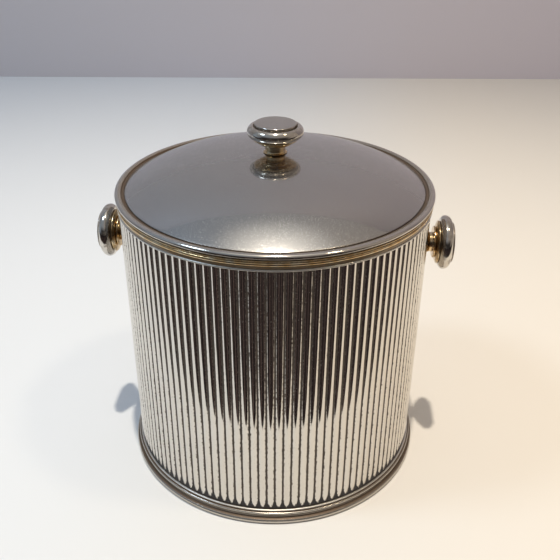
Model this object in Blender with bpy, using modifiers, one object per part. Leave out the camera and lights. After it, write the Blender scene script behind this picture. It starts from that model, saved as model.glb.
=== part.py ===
"""Lidded ice bucket: fluted plated wall, double-walled insulated body, mushroom knobs.

All driving dimensions are in millimetres and are turned into metres as each mesh is made.
The origin is the centre of the foot on the table, +Z is up, and the side knobs lie on the X axis.
"""

import math

import bmesh
import bpy
from mathutils import Matrix

MM = 0.001
GAP = 0.3                     # clearance between touching neighbours
MERGE = 0.00001               # merge distance of the turned meshes, in metres
SHARP_ANGLE = math.radians(35.0)

# Facets round each kind of turned piece
RING_SIDES = 48
PAD_SIDES = 36
KNOB_SIDES = 20
STUD_SIDES = 12

# Fluted wall
FLUTE_COUNT = 120
CREST_RADIUS = 98.3
RIB_RISE = 0.45               # crest above the rib's edges
RIB_SHARE = 0.76              # part of the pitch that the rib takes, the rest is groove
WALL_INNER_RADIUS = 96.7
WALL_BOTTOM = 9.7
WALL_TOP = 183.7
WALL_CUT_DEPTH = 6.0          # each way from the crest, past both faces of the wall

# Drawn-wire rings that end the flutes
WIRE_RADIUS = 99.05
WIRE_HEIGHT = 1.2
WIRE_ROUNDING = 0.45

# Foot moulding
FOOT_RADIUS = 102.2
FOOT_INNER_RADIUS = 95.0
FOOT_SHELF = 7.9
UPSTAND_TOP = 18.0
FLANGE_INNER_RADIUS = 90.5
FLANGE_BOTTOM = 4.3
FLANGE_THICKNESS = 1.2
PLATE_THICKNESS = 1.0
PAD_RADIUS = 84.0
PAD_THICKNESS = 1.4

# Top collar
COLLAR_BOTTOM = 185.5
COLLAR_TOP = 190.6
COLLAR_LEDGE = 187.8
LEDGE_THICKNESS = 1.2
LEDGE_INNER_RADIUS = 90.0
SKIRT_BOTTOM = 176.0
SKIRT_OUTER_RADIUS = 96.3
SKIRT_INNER_RADIUS = 95.1
COLLAR_BORE_RADIUS = 95.5

# Inner liner and what lies round it
LINER_INNER_RADIUS = 83.0
LINER_THICKNESS = 1.1
LINER_FLOOR = 20.0
FLANGE_RADIUS = 95.2
LINER_FLANGE_THICKNESS = 1.0
GASKET_THICKNESS = 1.0
FOAM_INNER_RADIUS = 84.5
FOAM_OUTER_RADIUS = 94.7
FOAM_BOTTOM = 8.0
FOAM_TOP = 186.2
POCKET_RADIUS = 8.0
POCKET_FLOOR = 90.5

# Lid, heights measured up from its seat on the collar
LID_SEAT = COLLAR_TOP + GAP
BEAD_OUTER_RADIUS = 100.0
BEAD_CENTRE_RADIUS = 97.85
BEAD_HEIGHT = 3.3
RIM_LEDGE_THICKNESS = 1.0
RIM_GROOVE = 1.9
DOME_RADIUS = 93.9
DOME_EDGE = 2.3
DOME_APEX = 23.1
DOME_SHOULDER = 0.32          # share of the fourth-power term that fills out the shoulder
DOME_THICKNESS = 1.0
PAN_RADIUS = 80.2
PAN_DEPTH = 9.9
PAN_THICKNESS = 0.8
PAN_FLANGE_RADIUS = 92.0
PAN_FLANGE_THICKNESS = 0.6
LID_FOAM_TOP = 6.1
SEAL_RADIUS = 82.4
SEAL_TOP = -2.4
SEAL_BOTTOM = -7.4

# Mushroom knobs, heights measured up from the bottom of the small bead
KNOB_HEIGHT = 12.7
HEAD_RADIUS = 17.4
HEAD_WIDEST = 7.6
HEAD_SEAM = 3.8
HEAD_SEAM_RADIUS = 14.3
BUTTON_RADIUS = 13.0
BUTTON_BOTTOM = 10.1
CONE_TOP = 3.5
CONE_TOP_RADIUS = 13.9
CONE_BOTTOM = 1.7
CONE_BOTTOM_RADIUS = 11.6
KNOB_BEAD_RADIUS = 10.4
KNOB_BEAD_TOP = 1.4
NECK_RADIUS = 6.3
NECK_FLARE = 7.4
NECK_FLARE_HEIGHT = 1.6
STUD_RADIUS = 2.0
STUD_BORE = 2.3
STUD_TOP = 9.2
STUD_END_SPARE = 0.8          # stud standing proud of its nut
WASHER_RADIUS = 6.0
WASHER_THICKNESS = 1.0
NUT_CORNER_RADIUS = 4.1
NUT_THICKNESS = 2.3
SIDE_KNOB_HEIGHT = 156.1
SIDE_NECK = 4.0
LID_NECK = 5.9
SIDE_BACKING = 2.3            # crest to the washer inside the wall
LID_BACKING = 1.3             # dome top to the washer under it

# Base screws
SCREW_COUNT = 3
SCREW_CIRCLE = 92.75
SCREW_RADIUS = 1.0
SCREW_HEAD_RADIUS = 1.9
SCREW_HOLE_RADIUS = 1.3
SCREW_HEAD_BOTTOM = 1.6
SCREW_HEAD_TOP = 2.7
SCREW_TIP = 7.5

MATERIALS = {
    "silver_plate": ((0.72, 0.70, 0.66), 0.18, 1.0),
    "worn_brass": ((0.62, 0.43, 0.18), 0.25, 1.0),
    "liner_steel": ((0.62, 0.62, 0.61), 0.3, 1.0),
    "foam": ((0.88, 0.87, 0.82), 0.9, 0.0),
    "seal_rubber": ((0.08, 0.08, 0.08), 0.7, 0.0),
    "base_felt": ((0.05, 0.16, 0.10), 0.95, 0.0),
    "fastener_steel": ((0.55, 0.55, 0.54), 0.35, 1.0),
}


def clear_scene():
    """Remove the objects that a new file starts with."""
    for old in list(bpy.data.objects):
        bpy.data.objects.remove(old)


def make_collection(name):
    """A collection linked to the scene."""
    collection = bpy.data.collections.new(name)
    bpy.context.scene.collection.children.link(collection)
    return collection


def material(name):
    """The Principled material of that name, made at its first use."""
    found = bpy.data.materials.get(name)
    if found:
        return found
    colour, roughness, metallic = MATERIALS[name]
    made = bpy.data.materials.new(name)
    made.use_nodes = True
    shader = made.node_tree.nodes["Principled BSDF"]
    shader.inputs["Base Color"].default_value = (*colour, 1.0)
    shader.inputs["Roughness"].default_value = roughness
    shader.inputs["Metallic"].default_value = metallic
    return made


def add_part(name, mesh, slot, parent=None):
    """Put a mesh in the bucket's collection as a named part."""
    part = bpy.data.objects.new(name, mesh)
    parts.objects.link(part)
    if not mesh.materials:
        mesh.materials.append(material(slot))
    part.parent = parent
    return part


def settle(part):
    """Replace a part's mesh with its evaluated one and shade it smooth."""
    bpy.context.view_layer.update()
    seen = part.evaluated_get(bpy.context.evaluated_depsgraph_get())
    mesh = bpy.data.meshes.new_from_object(seen)
    part.modifiers.clear()
    part.data = mesh
    mesh.shade_smooth()
    mesh.set_sharp_from_angle(angle=SHARP_ANGLE)
    return part


def turned(name, profile, slot, sides=RING_SIDES, ring=True, parent=None, wall=0.0):
    """A turned piece: (radius, height) points that run down its outer side.

    A ring's profile is a closed loop, any other starts and ends on the axis or is an open
    sheet that gets its wall thickness from Solidify.
    """
    mesh = bpy.data.meshes.new(name)
    points = [(radius * MM, 0.0, height * MM) for radius, height in profile]
    edges = [(i, i + 1) for i in range(len(points) - 1)]
    if ring:
        edges.append((len(points) - 1, 0))
    mesh.from_pydata(points, edges, [])
    part = add_part(name, mesh, slot, parent)
    screw = part.modifiers.new("turn", "SCREW")
    screw.axis = "Z"
    screw.steps = sides
    screw.render_steps = sides
    screw.use_merge_vertices = True
    screw.merge_threshold = MERGE
    if wall:
        solidify = part.modifiers.new("wall", "SOLIDIFY")
        solidify.thickness = wall * MM
        solidify.offset = -1.0
    return settle(part)


def disc(name, radius, bottom, top, slot, sides=RING_SIDES, parent=None):
    """A plain round plate or pad."""
    bpy.ops.mesh.primitive_cylinder_add(vertices=sides, radius=radius * MM, depth=(top - bottom) * MM)
    part = bpy.context.object
    part.name = name
    for collection in list(part.users_collection):
        collection.objects.unlink(part)
    parts.objects.link(part)
    part.data.materials.append(material(slot))
    part.parent = parent
    part.location = (0.0, 0.0, (top + bottom) / 2 * MM)
    part.data.shade_smooth()
    part.data.set_sharp_from_angle(angle=SHARP_ANGLE)
    return part


def round_cutter(name, radius, start, end, place):
    """A cylinder along its own Z from start to end, placed by a matrix, kept out of the parts."""
    shape = bmesh.new()
    bmesh.ops.create_cone(shape, cap_ends=True, segments=STUD_SIDES, radius1=radius * MM,
                          radius2=radius * MM, depth=(end - start) * MM)
    bmesh.ops.translate(shape, verts=shape.verts, vec=(0.0, 0.0, (start + end) / 2 * MM))
    mesh = bpy.data.meshes.new(name)
    shape.to_mesh(mesh)
    shape.free()
    cutter = bpy.data.objects.new(name, mesh)
    cutters.objects.link(cutter)
    cutter.matrix_world = place
    cutter.hide_render = True
    cutter.display_type = "WIRE"
    return cutter


def cut(part, cutter):
    """Take a cutter's shape out of a part."""
    boolean = part.modifiers.new("cut", "BOOLEAN")
    boolean.operation = "DIFFERENCE"
    boolean.solver = "EXACT"
    boolean.object = cutter


def flute_outline():
    """One closed outline round the wall: three points over each rib, grooves between them."""
    points = []
    pitch = math.tau / FLUTE_COUNT
    for rib in range(FLUTE_COUNT):
        for share, drop in ((-RIB_SHARE / 2, RIB_RISE), (0.0, 0.0), (RIB_SHARE / 2, RIB_RISE)):
            angle = (rib + share) * pitch
            radius = (CREST_RADIUS - drop) * MM
            points.append((radius * math.cos(angle), radius * math.sin(angle)))
    return points


def circle_outline(radius, sides):
    """The corners of a regular polygon."""
    corners = []
    for side in range(sides):
        angle = math.tau * side / sides
        corners.append((radius * MM * math.cos(angle), radius * MM * math.sin(angle)))
    return corners


def extruded(name, outlines, bottom, top, slot, parent=None):
    """A flat outline, with the holes that the other outlines make, given a height."""
    curve = bpy.data.curves.new(name, "CURVE")
    curve.dimensions = "2D"
    curve.fill_mode = "BOTH"
    curve.extrude = (top - bottom) / 2 * MM
    for outline in outlines:
        spline = curve.splines.new("POLY")
        spline.points.add(len(outline) - 1)
        for point, (x, y) in zip(spline.points, outline):
            point.co = (x, y, 0.0, 1.0)
        spline.use_cyclic_u = True
    drawn = bpy.data.objects.new(name + "_outline", curve)
    parts.objects.link(drawn)
    bpy.context.view_layer.update()
    mesh = bpy.data.meshes.new_from_object(drawn.evaluated_get(bpy.context.evaluated_depsgraph_get()))
    bpy.data.objects.remove(drawn)
    shape = bmesh.new()
    shape.from_mesh(mesh)
    bmesh.ops.remove_doubles(shape, verts=shape.verts, dist=MERGE)
    shape.to_mesh(mesh)
    shape.free()
    mesh.shade_smooth()
    mesh.set_sharp_from_angle(angle=SHARP_ANGLE)
    part = add_part(name, mesh, slot, parent)
    part.location = (0.0, 0.0, (top + bottom) / 2 * MM)
    return part


def dome_profile():
    """The lid dome from its stud hole to its edge: a low cap with a fuller shoulder."""
    steps = 5
    rise = DOME_APEX - DOME_EDGE
    points = []
    for step in range(steps + 1):
        radius = STUD_BORE + (DOME_RADIUS - STUD_BORE) * step / steps
        out = radius / DOME_RADIUS
        fall = (1 - DOME_SHOULDER) * out ** 2 + DOME_SHOULDER * out ** 4
        points.append((radius, DOME_APEX - rise * fall))
    return points


def build_wall():
    """The fluted wall and the wire rings that end the flutes."""
    wall = extruded("outer_shell", [flute_outline(), circle_outline(WALL_INNER_RADIUS, RING_SIDES)],
                    WALL_BOTTOM, WALL_TOP, "silver_plate")
    for side, turn in (("right", 0.0), ("left", math.pi)):
        place = side_matrix(turn)
        cut(wall, round_cutter("wall_bore_" + side, STUD_BORE, -WALL_CUT_DEPTH, WALL_CUT_DEPTH, place))
    for name, bottom in (("lower_bead_ring", WALL_BOTTOM - GAP - WIRE_HEIGHT), ("upper_bead_ring", WALL_TOP + GAP)):
        inner = SKIRT_OUTER_RADIUS + GAP
        shoulder = WIRE_RADIUS - WIRE_ROUNDING
        turned(name, [(inner, bottom + WIRE_HEIGHT), (shoulder, bottom + WIRE_HEIGHT),
                      (WIRE_RADIUS, bottom + WIRE_HEIGHT / 2), (shoulder, bottom), (inner, bottom)],
               "silver_plate")


def build_foot():
    """The double-bead foot moulding, with the plate screwed up into it and a felt under that."""
    foot = turned("foot_ring", [
        (SKIRT_OUTER_RADIUS, UPSTAND_TOP), (SKIRT_OUTER_RADIUS, FOOT_SHELF), (99.6, FOOT_SHELF),
        (100.5, 7.1), (99.6, 6.2), (99.3, 4.9), (99.8, 4.0), (101.3, 3.7),
        (FOOT_RADIUS, 2.0), (101.4, 0.5), (100.2, 0.0), (97.0, 0.0),
        (FOOT_INNER_RADIUS, 1.5), (FOOT_INNER_RADIUS, FLANGE_BOTTOM),
        (FLANGE_INNER_RADIUS, FLANGE_BOTTOM), (FLANGE_INNER_RADIUS, FLANGE_BOTTOM + FLANGE_THICKNESS),
        (FOOT_INNER_RADIUS, FLANGE_BOTTOM + FLANGE_THICKNESS), (FOOT_INNER_RADIUS, UPSTAND_TOP),
    ], "silver_plate")
    plate_top = FLANGE_BOTTOM - GAP
    plate_bottom = plate_top - PLATE_THICKNESS
    plate = disc("base_plate", FOOT_INNER_RADIUS - GAP, plate_bottom, plate_top, "silver_plate")
    pad_top = plate_bottom - GAP
    disc("base_pad", PAD_RADIUS, pad_top - PAD_THICKNESS, pad_top, "base_felt", sides=PAD_SIDES)
    for screw in range(SCREW_COUNT):
        place = screw_matrix(screw)
        cutter = round_cutter("screw_hole_%d" % screw, SCREW_HOLE_RADIUS, SCREW_HEAD_BOTTOM, SCREW_TIP, place)
        cut(foot, cutter)
        cut(plate, cutter)
        build_base_screw(screw)


def screw_matrix(index):
    """Where a base screw stands: spaced evenly round the foot's flange, the first on +Y."""
    angle = math.tau * index / SCREW_COUNT + math.pi / 2
    x = SCREW_CIRCLE * math.cos(angle) * MM
    y = SCREW_CIRCLE * math.sin(angle) * MM
    return Matrix.Translation((x, y, 0.0))


def build_base_screw(index):
    """One base screw, head down."""
    screw = turned("base_screw_%d" % (index + 1), [
        (0.0, SCREW_TIP), (SCREW_RADIUS, SCREW_TIP), (SCREW_RADIUS, SCREW_HEAD_TOP),
        (SCREW_HEAD_RADIUS, SCREW_HEAD_TOP), (SCREW_HEAD_RADIUS, SCREW_HEAD_BOTTOM), (0.0, SCREW_HEAD_BOTTOM),
    ], "fastener_steel", sides=STUD_SIDES, ring=False)
    screw.matrix_world = screw_matrix(index)


def build_collar():
    """The brass collar: a plain band, a rounded band and a lip outside, ledge and skirt inside."""
    turned("top_collar", [
        (COLLAR_BORE_RADIUS, COLLAR_TOP), (98.6, COLLAR_TOP), (99.2, 190.2), (98.5, 189.7),
        (99.1, 189.2), (99.5, 188.3), (99.1, 187.5), (98.7, 187.2), (98.7, COLLAR_BOTTOM),
        (SKIRT_OUTER_RADIUS, COLLAR_BOTTOM), (SKIRT_OUTER_RADIUS, SKIRT_BOTTOM),
        (SKIRT_INNER_RADIUS, SKIRT_BOTTOM), (SKIRT_INNER_RADIUS, COLLAR_LEDGE - LEDGE_THICKNESS),
        (LEDGE_INNER_RADIUS, COLLAR_LEDGE - LEDGE_THICKNESS), (LEDGE_INNER_RADIUS, COLLAR_LEDGE),
        (COLLAR_BORE_RADIUS, COLLAR_LEDGE),
    ], "worn_brass")


def build_liner():
    """The drawn steel liner, its gasket on the collar's ledge, and the foam round it."""
    gasket_bottom = COLLAR_LEDGE + GAP
    gasket_top = gasket_bottom + GASKET_THICKNESS
    flange_bottom = gasket_top + GAP
    flange_top = flange_bottom + LINER_FLANGE_THICKNESS
    outer = LINER_INNER_RADIUS + LINER_THICKNESS
    turned("inner_liner", [
        (0.0, LINER_FLOOR), (75.0, LINER_FLOOR), (80.7, LINER_FLOOR + 2.0), (LINER_INNER_RADIUS, LINER_FLOOR + 7.5),
        (LINER_INNER_RADIUS, flange_top), (FLANGE_RADIUS, flange_top), (FLANGE_RADIUS, flange_bottom),
        (outer, flange_bottom), (outer, LINER_FLOOR + 7.0), (81.5, LINER_FLOOR + 1.2),
        (75.3, LINER_FLOOR - LINER_THICKNESS), (0.0, LINER_FLOOR - LINER_THICKNESS),
    ], "liner_steel", ring=False)
    turned("liner_gasket", [
        (LEDGE_INNER_RADIUS + GAP, gasket_top), (FLANGE_RADIUS, gasket_top),
        (FLANGE_RADIUS, gasket_bottom), (LEDGE_INNER_RADIUS + GAP, gasket_bottom),
    ], "seal_rubber")
    floor = LINER_FLOOR - LINER_THICKNESS - GAP
    foam = turned("insulation_jacket", [
        (0.0, floor), (75.3, floor), (81.8, floor + 2.2), (FOAM_INNER_RADIUS, floor + 8.0),
        (FOAM_INNER_RADIUS, FOAM_TOP), (FOAM_OUTER_RADIUS, FOAM_TOP),
        (FOAM_OUTER_RADIUS, FOAM_BOTTOM), (0.0, FOAM_BOTTOM),
    ], "foam", ring=False)
    for side, turn in (("right", 0.0), ("left", math.pi)):
        depth = CREST_RADIUS - POCKET_FLOOR
        cut(foam, round_cutter("foam_pocket_" + side, POCKET_RADIUS, -depth, 0.0, side_matrix(turn)))


def side_matrix(turn):
    """The frame of a side knob: its origin on the rib crest, its Z pointing out of the wall."""
    lean = Matrix.Rotation(math.pi / 2, 4, "Y")
    place = Matrix.Translation((CREST_RADIUS * MM, 0.0, SIDE_KNOB_HEIGHT * MM))
    return Matrix.Rotation(turn, 4, "Z") @ place @ lean


def build_knob(prefix, place, neck, backing, parent=None):
    """One mushroom knob on its stud, with a washer and a nut behind the sheet it is fixed to.

    The knob's own Z runs out from the sheet, and neck is how far its bead stands off it.
    """
    axis = bpy.data.objects.new(prefix + "_axis", None)
    parts.objects.link(axis)
    axis.matrix_world = place
    if parent:
        axis.parent = parent

    def piece(name, profile, slot, **options):
        shifted = [(radius, height + neck) for radius, height in profile]
        turned(prefix + "_" + name, shifted, slot, sides=options.get("sides", KNOB_SIDES),
               ring=options.get("ring", True), parent=axis)

    socket = BUTTON_RADIUS + GAP
    piece("button", [(0.0, KNOB_HEIGHT), (BUTTON_RADIUS - 0.6, KNOB_HEIGHT), (BUTTON_RADIUS, KNOB_HEIGHT - 0.5),
                     (BUTTON_RADIUS, BUTTON_BOTTOM), (0.0, BUTTON_BOTTOM)], "silver_plate", ring=False)
    piece("head", [(socket, 11.1), (14.6, 11.3), (16.0, 10.4), (17.0, 9.1), (HEAD_RADIUS, HEAD_WIDEST),
                   (17.2, 6.5), (16.6, 5.4), (15.4, 4.4), (HEAD_SEAM_RADIUS, HEAD_SEAM), (STUD_BORE, HEAD_SEAM),
                   (STUD_BORE, BUTTON_BOTTOM - GAP), (socket, BUTTON_BOTTOM - GAP)], "silver_plate")
    piece("cone", [(STUD_BORE, CONE_TOP), (CONE_TOP_RADIUS, CONE_TOP), (12.9, 2.3),
                   (CONE_BOTTOM_RADIUS, CONE_BOTTOM), (STUD_BORE, CONE_BOTTOM)], "worn_brass")
    piece("bead", [(STUD_BORE, KNOB_BEAD_TOP), (KNOB_BEAD_RADIUS - 0.4, KNOB_BEAD_TOP), (KNOB_BEAD_RADIUS, 0.9),
                   (KNOB_BEAD_RADIUS - 0.5, 0.3), (KNOB_BEAD_RADIUS - 1.6, 0.0), (STUD_BORE, 0.0)], "worn_brass")
    piece("neck", [(STUD_BORE, -GAP), (NECK_RADIUS, -GAP), (NECK_RADIUS, NECK_FLARE_HEIGHT - neck),
                   (NECK_FLARE, GAP - neck), (STUD_BORE, GAP - neck)], "worn_brass")
    washer_face = -neck - backing
    nut_face = washer_face - WASHER_THICKNESS - GAP
    stud_end = nut_face - NUT_THICKNESS - STUD_END_SPARE
    piece("stud", [(0.0, STUD_TOP), (STUD_RADIUS, STUD_TOP), (STUD_RADIUS, stud_end), (0.0, stud_end)],
          "fastener_steel", sides=STUD_SIDES, ring=False)
    piece("washer", [(STUD_BORE, washer_face), (WASHER_RADIUS, washer_face),
                     (WASHER_RADIUS, washer_face - WASHER_THICKNESS), (STUD_BORE, washer_face - WASHER_THICKNESS)],
          "fastener_steel")
    extruded(prefix + "_nut", [circle_outline(NUT_CORNER_RADIUS, 6), circle_outline(STUD_BORE, STUD_SIDES)],
             nut_face + neck - NUT_THICKNESS, nut_face + neck, "fastener_steel", parent=axis)


def build_lid():
    """The lid: beaded rim, domed top, foam and inner pan, with the seal ring round the pan."""
    seat = bpy.data.objects.new("lid_seat", None)
    parts.objects.link(seat)
    seat.location = (0.0, 0.0, LID_SEAT * MM)
    middle = BEAD_HEIGHT / 2
    turned("lid_rim", [
        (BEAD_CENTRE_RADIUS, BEAD_HEIGHT), (99.4, 2.8), (BEAD_OUTER_RADIUS, middle), (99.4, 0.5),
        (BEAD_CENTRE_RADIUS, 0.0), (LEDGE_INNER_RADIUS, 0.0), (LEDGE_INNER_RADIUS, RIM_LEDGE_THICKNESS),
        (DOME_RADIUS + GAP, RIM_LEDGE_THICKNESS), (DOME_RADIUS + GAP, RIM_GROOVE), (95.6, RIM_GROOVE),
        (96.2, 2.8),
    ], "silver_plate", parent=seat)
    turned("lid_dome", dome_profile(), "silver_plate", ring=False, parent=seat, wall=DOME_THICKNESS)
    flange_bottom = RIM_LEDGE_THICKNESS + GAP
    flange_top = flange_bottom + PAN_FLANGE_THICKNESS
    inner = PAN_RADIUS - PAN_THICKNESS
    turned("lid_liner", [
        (0.0, PAN_THICKNESS - PAN_DEPTH), (inner, PAN_THICKNESS - PAN_DEPTH), (inner, flange_top),
        (PAN_FLANGE_RADIUS, flange_top), (PAN_FLANGE_RADIUS, flange_bottom), (PAN_RADIUS, flange_bottom),
        (PAN_RADIUS, -PAN_DEPTH), (0.0, -PAN_DEPTH),
    ], "liner_steel", ring=False, parent=seat)
    disc("lid_insulation", inner - GAP, PAN_THICKNESS - PAN_DEPTH + GAP, LID_FOAM_TOP, "foam",
         sides=PAD_SIDES, parent=seat)
    seal_inner = PAN_RADIUS + GAP
    turned("lid_seal", [
        (seal_inner, SEAL_TOP), (SEAL_RADIUS - 0.5, SEAL_TOP), (SEAL_RADIUS, SEAL_TOP - 1.0),
        (SEAL_RADIUS - 0.5, SEAL_BOTTOM), (seal_inner, SEAL_BOTTOM),
    ], "seal_rubber", parent=seat)
    build_knob("lid_knob", Matrix.Translation((0.0, 0.0, DOME_APEX * MM)), LID_NECK, LID_BACKING, parent=seat)


clear_scene()
parts = make_collection("ice_bucket")
cutters = make_collection("cutters")
build_wall()
build_foot()
build_collar()
build_liner()
build_knob("right_knob", side_matrix(0.0), SIDE_NECK, SIDE_BACKING)
build_knob("left_knob", side_matrix(math.pi), SIDE_NECK, SIDE_BACKING)
build_lid()
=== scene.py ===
"""Fluted ice bucket: fine surfaces and finishes for every piece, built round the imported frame.

The file is laid out as a Blender add-on and runs as a plain script. Sizes inside the functions
are millimetres, places are read from the frame's nodes, and every finished mesh is in metres.
"""

import math

import bmesh
import bpy
from mathutils import Matrix, Vector


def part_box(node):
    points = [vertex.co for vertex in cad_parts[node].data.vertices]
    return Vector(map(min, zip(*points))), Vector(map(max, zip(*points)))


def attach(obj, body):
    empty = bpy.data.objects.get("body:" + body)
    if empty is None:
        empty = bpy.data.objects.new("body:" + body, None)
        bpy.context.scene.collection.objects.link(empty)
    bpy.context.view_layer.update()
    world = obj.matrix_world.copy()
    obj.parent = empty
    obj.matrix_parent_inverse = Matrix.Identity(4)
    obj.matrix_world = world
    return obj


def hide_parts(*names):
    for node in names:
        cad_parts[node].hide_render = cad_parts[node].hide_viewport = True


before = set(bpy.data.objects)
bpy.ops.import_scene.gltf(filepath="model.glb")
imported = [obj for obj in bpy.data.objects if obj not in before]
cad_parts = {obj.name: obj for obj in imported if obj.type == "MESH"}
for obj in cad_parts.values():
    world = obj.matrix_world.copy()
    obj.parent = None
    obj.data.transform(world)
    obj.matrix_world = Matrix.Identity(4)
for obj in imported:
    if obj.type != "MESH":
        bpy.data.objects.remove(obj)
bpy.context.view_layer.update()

bl_info = {
    "name": "Fluted Ice Bucket",
    "version": (1, 0, 0),
    "blender": (4, 5, 0),
    "location": "3D View > Sidebar > Ice Bucket",
    "description": "Builds a fluted, plated ice bucket with a domed lid and three mushroom knobs",
    "category": "Add Mesh",
}

MM = 0.001
WELD = 0.000002               # metres, merge distance of the finished meshes
SMOOTH_ANGLE = math.radians(32.0)
RING_TURNS = 240              # facets round the large turned pieces
KNOB_TURNS = 96
SCREW_TURNS = 32
GROOVE_DEPTH = 0.6            # groove floor below the rib crests
WALL_BACK = 96.7              # inner radius of the fluted wall
WIRE_BACK = 96.6              # inner radius of the wire rings, behind the wall's face
WIRE_CORNER = 98.1            # radius where a wire ring meets the collar or the foot
TIPS_START = 13.0             # heights over which the painted shade round the rib tips, in near-black patina colour, gives way to brown patina
TIPS_END = 22.0
STUD_BORE = 2.3               # bore radius that a knob's stud passes through


def span(node):
    """(outer radius, bottom, top) of a round upright node, in millimetres."""
    low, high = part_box(node)
    return high.x / MM, low.z / MM, high.z / MM


# ---------------------------------------------------------------- outlines and meshes

def arc(centre, radii, start, end, steps=12):
    """Points along an ellipse's arc; angles in degrees, 0 outwards and 90 upwards."""
    points = []
    for step in range(steps + 1):
        angle = math.radians(start + (end - start) * step / steps)
        points.append((centre[0] + radii[0] * math.cos(angle), centre[1] + radii[1] * math.sin(angle)))
    return points


def eased(points, radius, closed, steps=4):
    """The outline with its sharp corners rounded off, and its smooth stretches left alone."""
    sharpest = math.cos(math.radians(24.0))
    count = len(points)
    result = []
    for index, point in enumerate(points):
        here = Vector(point)
        before = Vector(points[index - 1]) - here
        after = Vector(points[(index + 1) % count]) - here
        at_end = not closed and index in (0, count - 1)
        if at_end or -before.normalized().dot(after.normalized()) > sharpest:
            result.append((here.x, here.y))
            continue
        reach = min(radius, 0.45 * before.length, 0.45 * after.length)
        start = here + before.normalized() * reach
        end = here + after.normalized() * reach
        for step in range(steps + 1):
            share = step / steps
            on_curve = start * (1 - share) ** 2 + here * (2 * share * (1 - share)) + end * share ** 2
            result.append((on_curve.x, on_curve.y))
    return result


def evaluated_mesh(carrier):
    """The carrier object's mesh with its modifiers applied; the carrier is removed."""
    bpy.context.view_layer.update()
    seen = carrier.evaluated_get(bpy.context.evaluated_depsgraph_get())
    mesh = bpy.data.meshes.new_from_object(seen)
    bpy.data.objects.remove(carrier)
    return mesh


def carrier_of(mesh):
    """A short-lived object that holds a mesh while its modifiers run."""
    carrier = bpy.data.objects.new("carrier", mesh)
    bpy.context.scene.collection.objects.link(carrier)
    return carrier


def tidy(mesh):
    """Weld doubles, turn the faces outwards and shade the round stretches smooth."""
    shape = bmesh.new()
    shape.from_mesh(mesh)
    bmesh.ops.remove_doubles(shape, verts=shape.verts, dist=WELD)
    bmesh.ops.recalc_face_normals(shape, faces=shape.faces)
    shape.to_mesh(mesh)
    shape.free()
    mesh.shade_smooth()
    mesh.set_sharp_from_angle(angle=SMOOTH_ANGLE)
    return mesh


def lathe(outline, closed=True, easing=0.15, turns=RING_TURNS, place=None):
    """Turn (radius, height) points round Z. Keeps each point's radius and height as attributes."""
    points = eased(outline, easing, closed)
    mesh = bpy.data.meshes.new("turned")
    edges = [(i, i + 1) for i in range(len(points) - 1)]
    if closed:
        edges.append((len(points) - 1, 0))
    mesh.from_pydata([(radius * MM, 0.0, height * MM) for radius, height in points], edges, [])
    carrier = carrier_of(mesh)
    screw = carrier.modifiers.new("turn", "SCREW")
    screw.steps = turns
    screw.render_steps = turns
    screw.use_merge_vertices = True
    screw.merge_threshold = WELD
    turned = tidy(evaluated_mesh(carrier))
    reach = turned.attributes.new("reach", "FLOAT", "POINT")
    rise = turned.attributes.new("rise", "FLOAT", "POINT")
    for vertex in turned.vertices:
        reach.data[vertex.index].value = math.hypot(vertex.co.x, vertex.co.y) / MM
        rise.data[vertex.index].value = vertex.co.z / MM
    if place:
        turned.transform(place)
    return turned


def show(name, mesh, finish, body, slot, *nodes):
    """Put a finished mesh in the scene as the piece that stands for these nodes."""
    mesh.name = name
    mesh.materials.clear()
    mesh.materials.append(finish)
    made = bpy.data.objects.new(name, mesh)
    bpy.context.scene.collection.objects.link(made)
    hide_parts(*nodes)
    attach(made, body)
    return made


def ring_of_copies():
    """Node tree that sets copies of a shape evenly round the Z axis and welds them together."""
    tree = bpy.data.node_groups.new("ring_of_copies", "GeometryNodeTree")
    inputs = {"Shape": "Geometry", "Copies": "Int", "First Angle": "Float",
              "Weld Distance": "Float", "Finish": "Material"}
    for name, kind in inputs.items():
        tree.interface.new_socket(name, in_out="INPUT", socket_type="NodeSocket" + kind)
    tree.interface.new_socket("Ring", in_out="OUTPUT", socket_type="NodeSocketGeometry")
    nodes, join = tree.nodes, tree.links.new
    given = nodes.new("NodeGroupInput")
    points = nodes.new("GeometryNodePoints")
    join(given.outputs["Copies"], points.inputs["Count"])
    index = nodes.new("GeometryNodeInputIndex")
    pitch = nodes.new("ShaderNodeMath")
    pitch.operation = "DIVIDE"
    pitch.inputs[0].default_value = math.tau
    join(given.outputs["Copies"], pitch.inputs[1])
    angle = nodes.new("ShaderNodeMath")
    angle.operation = "MULTIPLY_ADD"
    join(index.outputs["Index"], angle.inputs[0])
    join(pitch.outputs["Value"], angle.inputs[1])
    join(given.outputs["First Angle"], angle.inputs[2])
    turn = nodes.new("ShaderNodeCombineXYZ")
    join(angle.outputs["Value"], turn.inputs["Z"])
    copies = nodes.new("GeometryNodeInstanceOnPoints")
    join(points.outputs[0], copies.inputs["Points"])
    join(given.outputs["Shape"], copies.inputs["Instance"])
    join(turn.outputs["Vector"], copies.inputs["Rotation"])
    real = nodes.new("GeometryNodeRealizeInstances")
    join(copies.outputs["Instances"], real.inputs["Geometry"])
    weld = nodes.new("GeometryNodeMergeByDistance")
    join(real.outputs["Geometry"], weld.inputs["Geometry"])
    join(given.outputs["Weld Distance"], weld.inputs["Distance"])
    finish = nodes.new("GeometryNodeSetMaterial")
    join(weld.outputs["Geometry"], finish.inputs["Geometry"])
    join(given.outputs["Finish"], finish.inputs["Material"])
    made = nodes.new("NodeGroupOutput")
    join(finish.outputs["Geometry"], made.inputs["Ring"])
    return tree


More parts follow.
